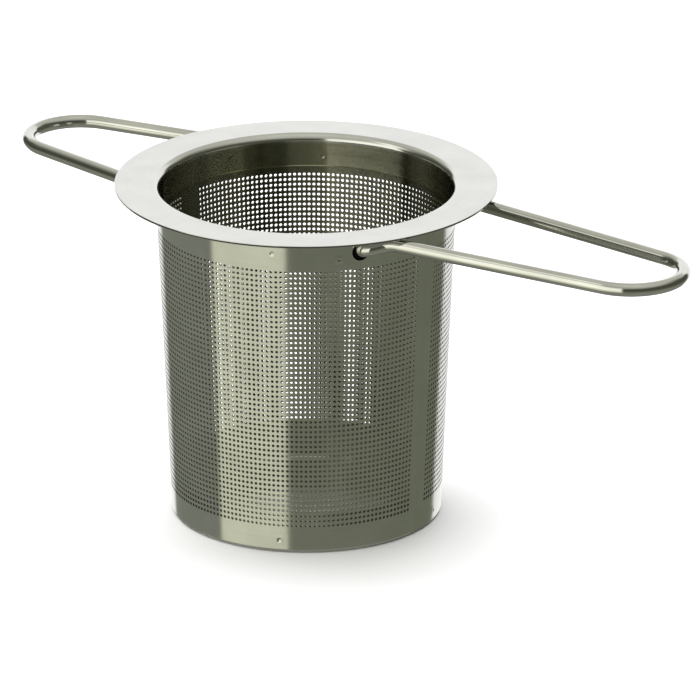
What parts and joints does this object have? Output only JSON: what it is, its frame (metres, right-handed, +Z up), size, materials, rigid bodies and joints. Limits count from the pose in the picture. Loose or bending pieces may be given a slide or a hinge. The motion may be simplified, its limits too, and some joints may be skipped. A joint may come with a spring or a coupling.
{
  "type": "tea basket strainer",
  "caption": "Deep perforated steel basket with a flat flange and wire loop handles that fold down; hangs in a cup or pot to brew and strain.",
  "frame": {"origin": "centre of the underside of the base, on the surface that the basket stands on", "axes": "+Z up through the basket, +X along the long handle, handles folded out"},
  "size_m": [0.1749, 0.084, 0.0755],
  "materials": {
    "polished_rim": "polished stainless steel",
    "perforated_sheet": "bright rolled stainless sheet, finely perforated",
    "base_steel": "bright pressed stainless steel",
    "handle_wire": "polished stainless wire"
  },
  "bodies": {
    "basket": {"rim_collar": "polished_rim", "wall_front": "perforated_sheet", "wall_back": "perforated_sheet", "base_cup": "base_steel"},
    "long_handle": {"long_handle": "handle_wire"},
    "short_handle": {"short_handle": "handle_wire"}
  },
  "joints": [
    {"name": "long_handle_fold", "type": "hinge", "parent": "basket", "child": "long_handle", "pos_m": [0.0285, 0, 0.0711], "axis": [0, 1, 0], "range_deg": [0, 89]},
    {"name": "short_handle_fold", "type": "hinge", "parent": "basket", "child": "short_handle", "pos_m": [-0.0285, 0, 0.0711], "axis": [0, -1, 0], "range_deg": [0, 87]}
  ]
}
